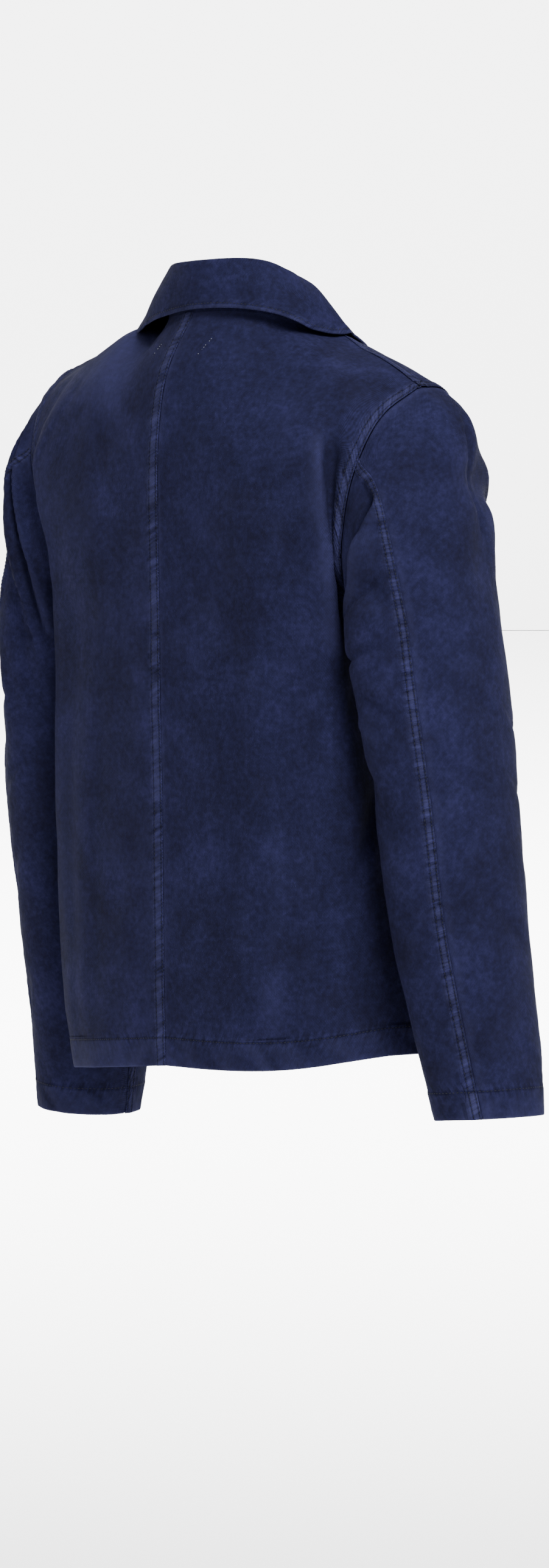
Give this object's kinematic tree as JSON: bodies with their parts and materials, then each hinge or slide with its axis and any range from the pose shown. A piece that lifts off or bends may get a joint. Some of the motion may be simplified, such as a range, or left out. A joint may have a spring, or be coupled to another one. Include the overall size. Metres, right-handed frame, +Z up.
{
  "type": "chore jacket",
  "caption": "Worn, buttoned cotton work jacket as hollow cloth: felled centre-back seam, two-piece sleeves, turn-down collar and patch pockets",
  "frame": {"origin": "Middle of the neck between the shoulder seams, where the wearer's shoulders and neck carry the jacket", "axes": "+Z is up, -Y is the wearer's front and +X is the wearer's left"},
  "size_m": [0.6094, 0.2644, 0.743],
  "materials": {
    "cotton_twill": "garment-dyed navy twill, mottled, dry and matte",
    "button_resin": "dark navy four-hole resin buttons with a low sheen"
  },
  "bodies": {
    "root": {"back_right": "cotton_twill", "back_left": "cotton_twill", "front_right": "cotton_twill", "front_left": "cotton_twill", "sleeve_right_top": "cotton_twill", "sleeve_right_under": "cotton_twill", "sleeve_left_top": "cotton_twill", "sleeve_left_under": "cotton_twill", "collar": "cotton_twill", "pocket_right": "cotton_twill", "pocket_left": "cotton_twill", "button_1": "button_resin", "button_2": "button_resin", "button_3": "button_resin", "button_4": "button_resin", "button_5": "button_resin"}
  },
  "joints": []
}
